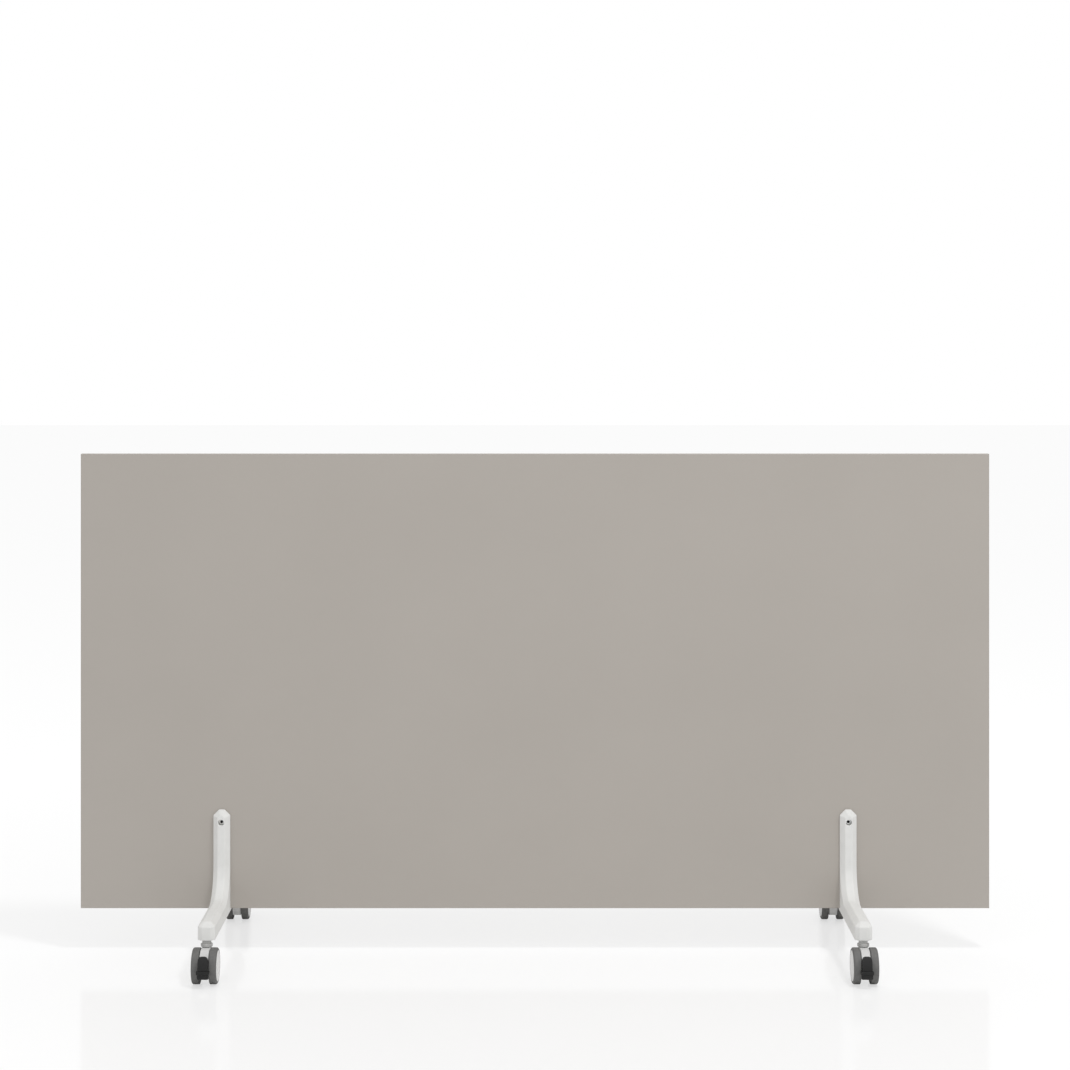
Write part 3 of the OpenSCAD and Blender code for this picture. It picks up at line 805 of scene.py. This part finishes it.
def wheelPlace(node, outward):
    # the matrix that sets a wheel's shape, drawn outward along +X from its inner face, on its wheel
    low, high, middle = boxOf(node)
    inner = low.x if outward > 0 else high.x
    place = Matrix.Translation((inner, middle.y, middle.z))
    return place if outward > 0 else place @ Matrix.Rotation(pi, 4, "Z")


tyre = tyreShape()
cover = coverShape()
collar = collarShape()
yoke = yokeShape()
pedal = pedalShape()
print("caster shapes made: yoke", len(yoke.polygons), "faces, pedal", len(pedal.polygons), "faces")

for corner in corners:
    middle = boxOf(corner + "_collar")[2]
    place = Matrix.Translation((middle.x, middle.y, 0))
    if corner.startswith("rear"):
        place = place @ Matrix.Rotation(pi, 4, "Z")
    for part, shape, node, body, slot in (
        ("collar", collar, "collar", "screen", "collar_grey"),
        ("yoke", yoke, "yoke", corner + "_caster", "yoke_metal"),
        ("pedal", pedal, "brake_pedal", corner + "_pedal", "pedal_black"),
    ):
        addPiece(corner + "_rounded_" + part, placed(shape, place), body, slot, corner + "_" + node)
    for outward, side in zip((-1, 1), sides):
        wheel = corner + "_" + side
        place = wheelPlace(wheel + "_tyre", outward)
        body = wheel + "_wheel"
        for part, shape, slot in (("tyre", tyre, "tread"), ("cover", cover, "wheel_cover")):
            addPiece(wheel + "_rounded_" + part, placed(shape, place), body, slot, wheel + "_" + part)
print("casters done")


# the nodes that stay get the finish of their material slot

for row in frame["record"]["subparts"]:
    node = frame["nodes"][row["node"]]
    for place in node.material_slots:
        place.material = finishes[row["material_slot"]]


# camera, floor and light

cameraLook = {
    "place": (0, -5.384, 1.3647), "focalPixels": 2440, "framePixels": 1070, "horizonPixel": 331,
    "sensor": 36,
}


def addCamera():
    look = cameraLook
    data = bpy.data.cameras.new("camera")
    data.sensor_width = look["sensor"]
    data.lens = look["sensor"] * look["focalPixels"] / look["framePixels"]
    data.shift_y = (look["horizonPixel"] - look["framePixels"] / 2) / look["framePixels"]
    camera = bpy.data.objects.new("camera", data)
    camera.location = look["place"]
    camera.rotation_euler = (radians(90), 0, 0)
    scene.collection.objects.link(camera)
    scene.camera = camera


addCamera()

stageLook = {
    "floorSize": 60, "floorColour": 0.9, "floorSeen": 0.32, "floorRoughness": 0.1, "floorMirror": 0.11,
    "floorLift": 0.60, "farLift": 0.04, "nearReach": 0.9, "farReach": 2.6, "ambient": 0.83,
}

lampLook = {
    # a round soft box high up in front and to the right; power in watts
    "softBox": {"place": (1.83, -1.95, 6.2), "aim": (0, 0, 0.4), "width": 0.9, "power": 135},
}


def addFloor():
    # a pale, slightly glossy floor; what the camera sees of it is lifted towards white
    look = stageLook
    bm = bmesh.new()
    bmesh.ops.create_grid(bm, x_segments=1, y_segments=1, size=look["floorSize"] / 2)
    floor = bpy.data.objects.new("floor", meshFrom(bm, "floor"))
    scene.collection.objects.link(floor)
    shader = newShader("paleFloor")
    seen = shader.node("ShaderNodeLightPath", output="Is Camera Ray")
    level = look["floorColour"] + (look["floorSeen"] - look["floorColour"]) * seen
    place = shader.node("ShaderNodeTexCoord", output="Object")
    reach = shader.node("ShaderNodeVectorMath", {"operation": "LENGTH"}, {0: place}, output="Value")
    lift = look["floorLift"] + look["farLift"] * shader.levels(reach, look["nearReach"], look["farReach"])
    paint = shader.node("ShaderNodeBsdfDiffuse", inputs={"Color": shader.node(
        "ShaderNodeCombineColor", inputs={0: level, 1: level, 2: level},
    )})
    gloss = shader.node("ShaderNodeBsdfGlossy", inputs={"Roughness": look["floorRoughness"]})
    glow = shader.node("ShaderNodeEmission", inputs={"Strength": lift * seen})
    coated = shader.node("ShaderNodeMixShader", inputs={0: look["floorMirror"], 1: paint, 2: gloss})
    surface = shader.node("ShaderNodeAddShader", inputs={0: coated, 1: glow})
    shader.node("ShaderNodeOutputMaterial", inputs={"Surface": surface})
    floor.data.materials.append(shader.owner)


def addLight():
    world = bpy.data.worlds.new("studio")
    scene.world = world
    shader = Shader(world)
    seen = shader.node("ShaderNodeLightPath", output="Is Camera Ray")
    mirrored = shader.node("ShaderNodeLightPath", output="Is Glossy Ray")
    white = shader.node("ShaderNodeMath", {"operation": "MAXIMUM"}, {0: seen, 1: mirrored})
    strength = stageLook["ambient"] + (1 - stageLook["ambient"]) * white
    back = shader.node("ShaderNodeBackground", inputs={"Color": (1, 1, 1, 1), "Strength": strength})
    shader.node("ShaderNodeOutputWorld", inputs={"Surface": back})
    for name, look in lampLook.items():
        data = bpy.data.lights.new(name, "AREA")
        data.shape = "DISK"
        data.size = look["width"]
        data.energy = look["power"]
        lamp = bpy.data.objects.new(name, data)
        lamp.location = look["place"]
        lamp.rotation_euler = (Vector(look["aim"]) - lamp.location).to_track_quat("-Z", "Y").to_euler()
        scene.collection.objects.link(lamp)


addFloor()
addLight()
scene.view_settings.view_transform = "Standard"
print("camera, floor and light done")
